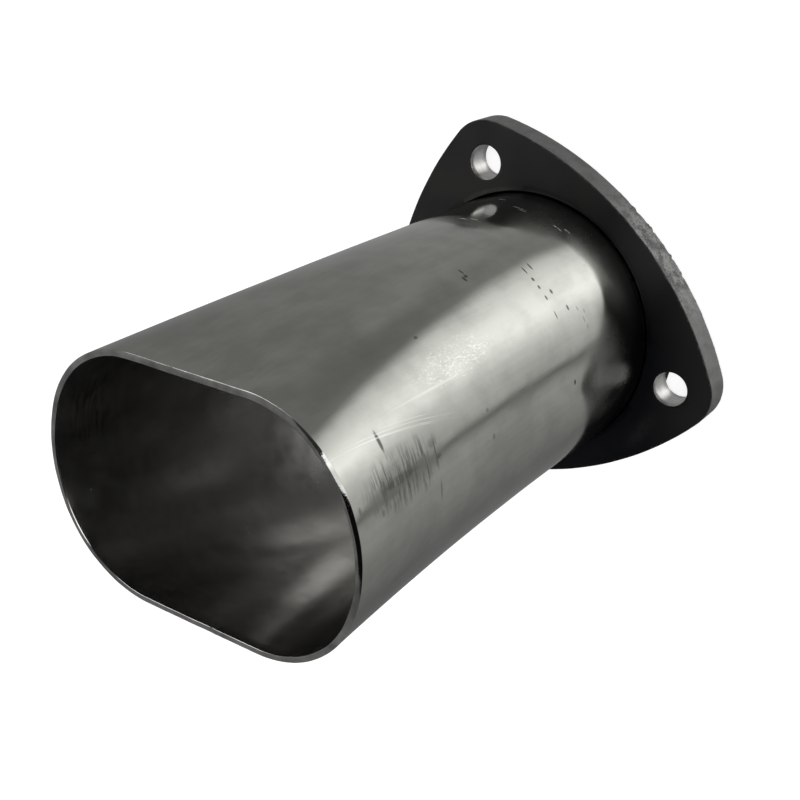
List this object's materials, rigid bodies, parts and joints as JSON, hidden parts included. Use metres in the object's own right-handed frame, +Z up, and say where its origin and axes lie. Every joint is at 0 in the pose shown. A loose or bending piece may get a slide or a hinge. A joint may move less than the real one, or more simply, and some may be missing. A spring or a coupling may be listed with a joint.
{
  "type": "exhaust header flange with formed round-to-oval tube",
  "caption": "Bare steel exhaust tube, formed from round to oval, with an outward lip that traps a loose bowed-triangle flange plate for bolting to a header collector.",
  "frame": {"origin": "centre of the flat sealing face of the tube's outward lip, on the tube's axis; the part stands on that face", "axes": "+Z up the tube's axis from the lip to the oval mouth, +X along the mouth's long axis, +Y along its short axis"},
  "size_m": [0.1183, 0.1186, 0.165],
  "materials": {
    "bare_steel_tube": "bare drawn steel, satin, with forming streaks and handling scratches",
    "mill_scale_plate": "hot-rolled plate with black mill scale, rough cut edge and bright drilled holes"
  },
  "bodies": {
    "tube": {"oval_tube": "bare_steel_tube"},
    "flange": {"swivel_flange": "mill_scale_plate"}
  },
  "joints": [
    {"name": "flange_swivel", "type": "hinge", "parent": "tube", "child": "flange", "pos_m": [0, 0, 0.0064], "axis": [0, 0, 1], "continuous": true}
  ]
}
